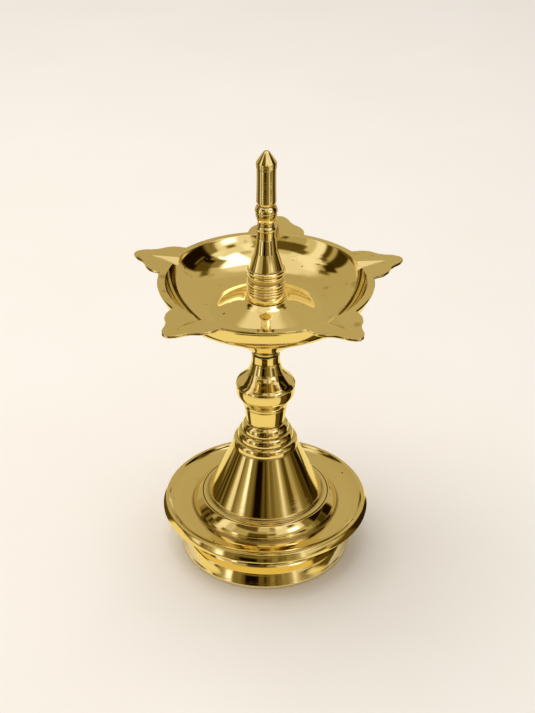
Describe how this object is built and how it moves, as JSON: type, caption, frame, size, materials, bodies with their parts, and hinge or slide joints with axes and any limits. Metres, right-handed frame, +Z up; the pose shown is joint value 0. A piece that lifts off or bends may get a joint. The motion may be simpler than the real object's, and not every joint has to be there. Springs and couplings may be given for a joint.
{
  "type": "oil lamp",
  "caption": "Free-standing pedestal oil lamp in turned brass: round foot with drip tray, cone, knop, shallow bowl with leaf-shaped wick spouts and a tall finial.",
  "frame": {"origin": "on the lamp's axis at the plane that the foot stands on; the end face of the tie rod lies 0.5 mm above it", "axes": "+Z up along the lamp's axis; -Y towards the viewer of the picture, +X to the viewer's right"},
  "size_m": [0.125, 0.1208, 0.2074],
  "materials": {
    "polished_brass": "mirror polished",
    "steel": "machined",
    "seal": "dark, oiled"
  },
  "bodies": {
    "column": {"base": "polished_brass", "pedestal": "polished_brass", "stem": "polished_brass", "tie_rod": "steel", "base_washer": "steel", "base_nut": "steel", "bowl_stud": "steel"},
    "turning_seal": {"lower_seal": "seal"},
    "oil_bowl": {"bowl": "polished_brass"},
    "rising_seal": {"upper_seal": "seal"},
    "top": {"finial": "polished_brass"}
  },
  "joints": [
    {"name": "bowl_turn", "type": "hinge", "parent": "column", "child": "turning_seal", "pos_m": [0, 0, 0.1073], "axis": [0, 0, 1], "continuous": true},
    {"name": "bowl_lift", "type": "slide", "parent": "turning_seal", "child": "oil_bowl", "axis": [0, 0, 1], "range_m": [0, 0.045]},
    {"name": "finial_lift", "type": "slide", "parent": "oil_bowl", "child": "rising_seal", "axis": [0, 0, 1], "range_m": [0, 0.015]},
    {"name": "finial_turn", "type": "hinge", "parent": "rising_seal", "child": "top", "pos_m": [0, 0, 0.1362], "axis": [0, 0, 1], "range_deg": [0, 4320]}
  ],
  "couplings": [
    {"joint": "finial_turn", "follows": "finial_lift", "rad_per_m": 5026.5}
  ]
}
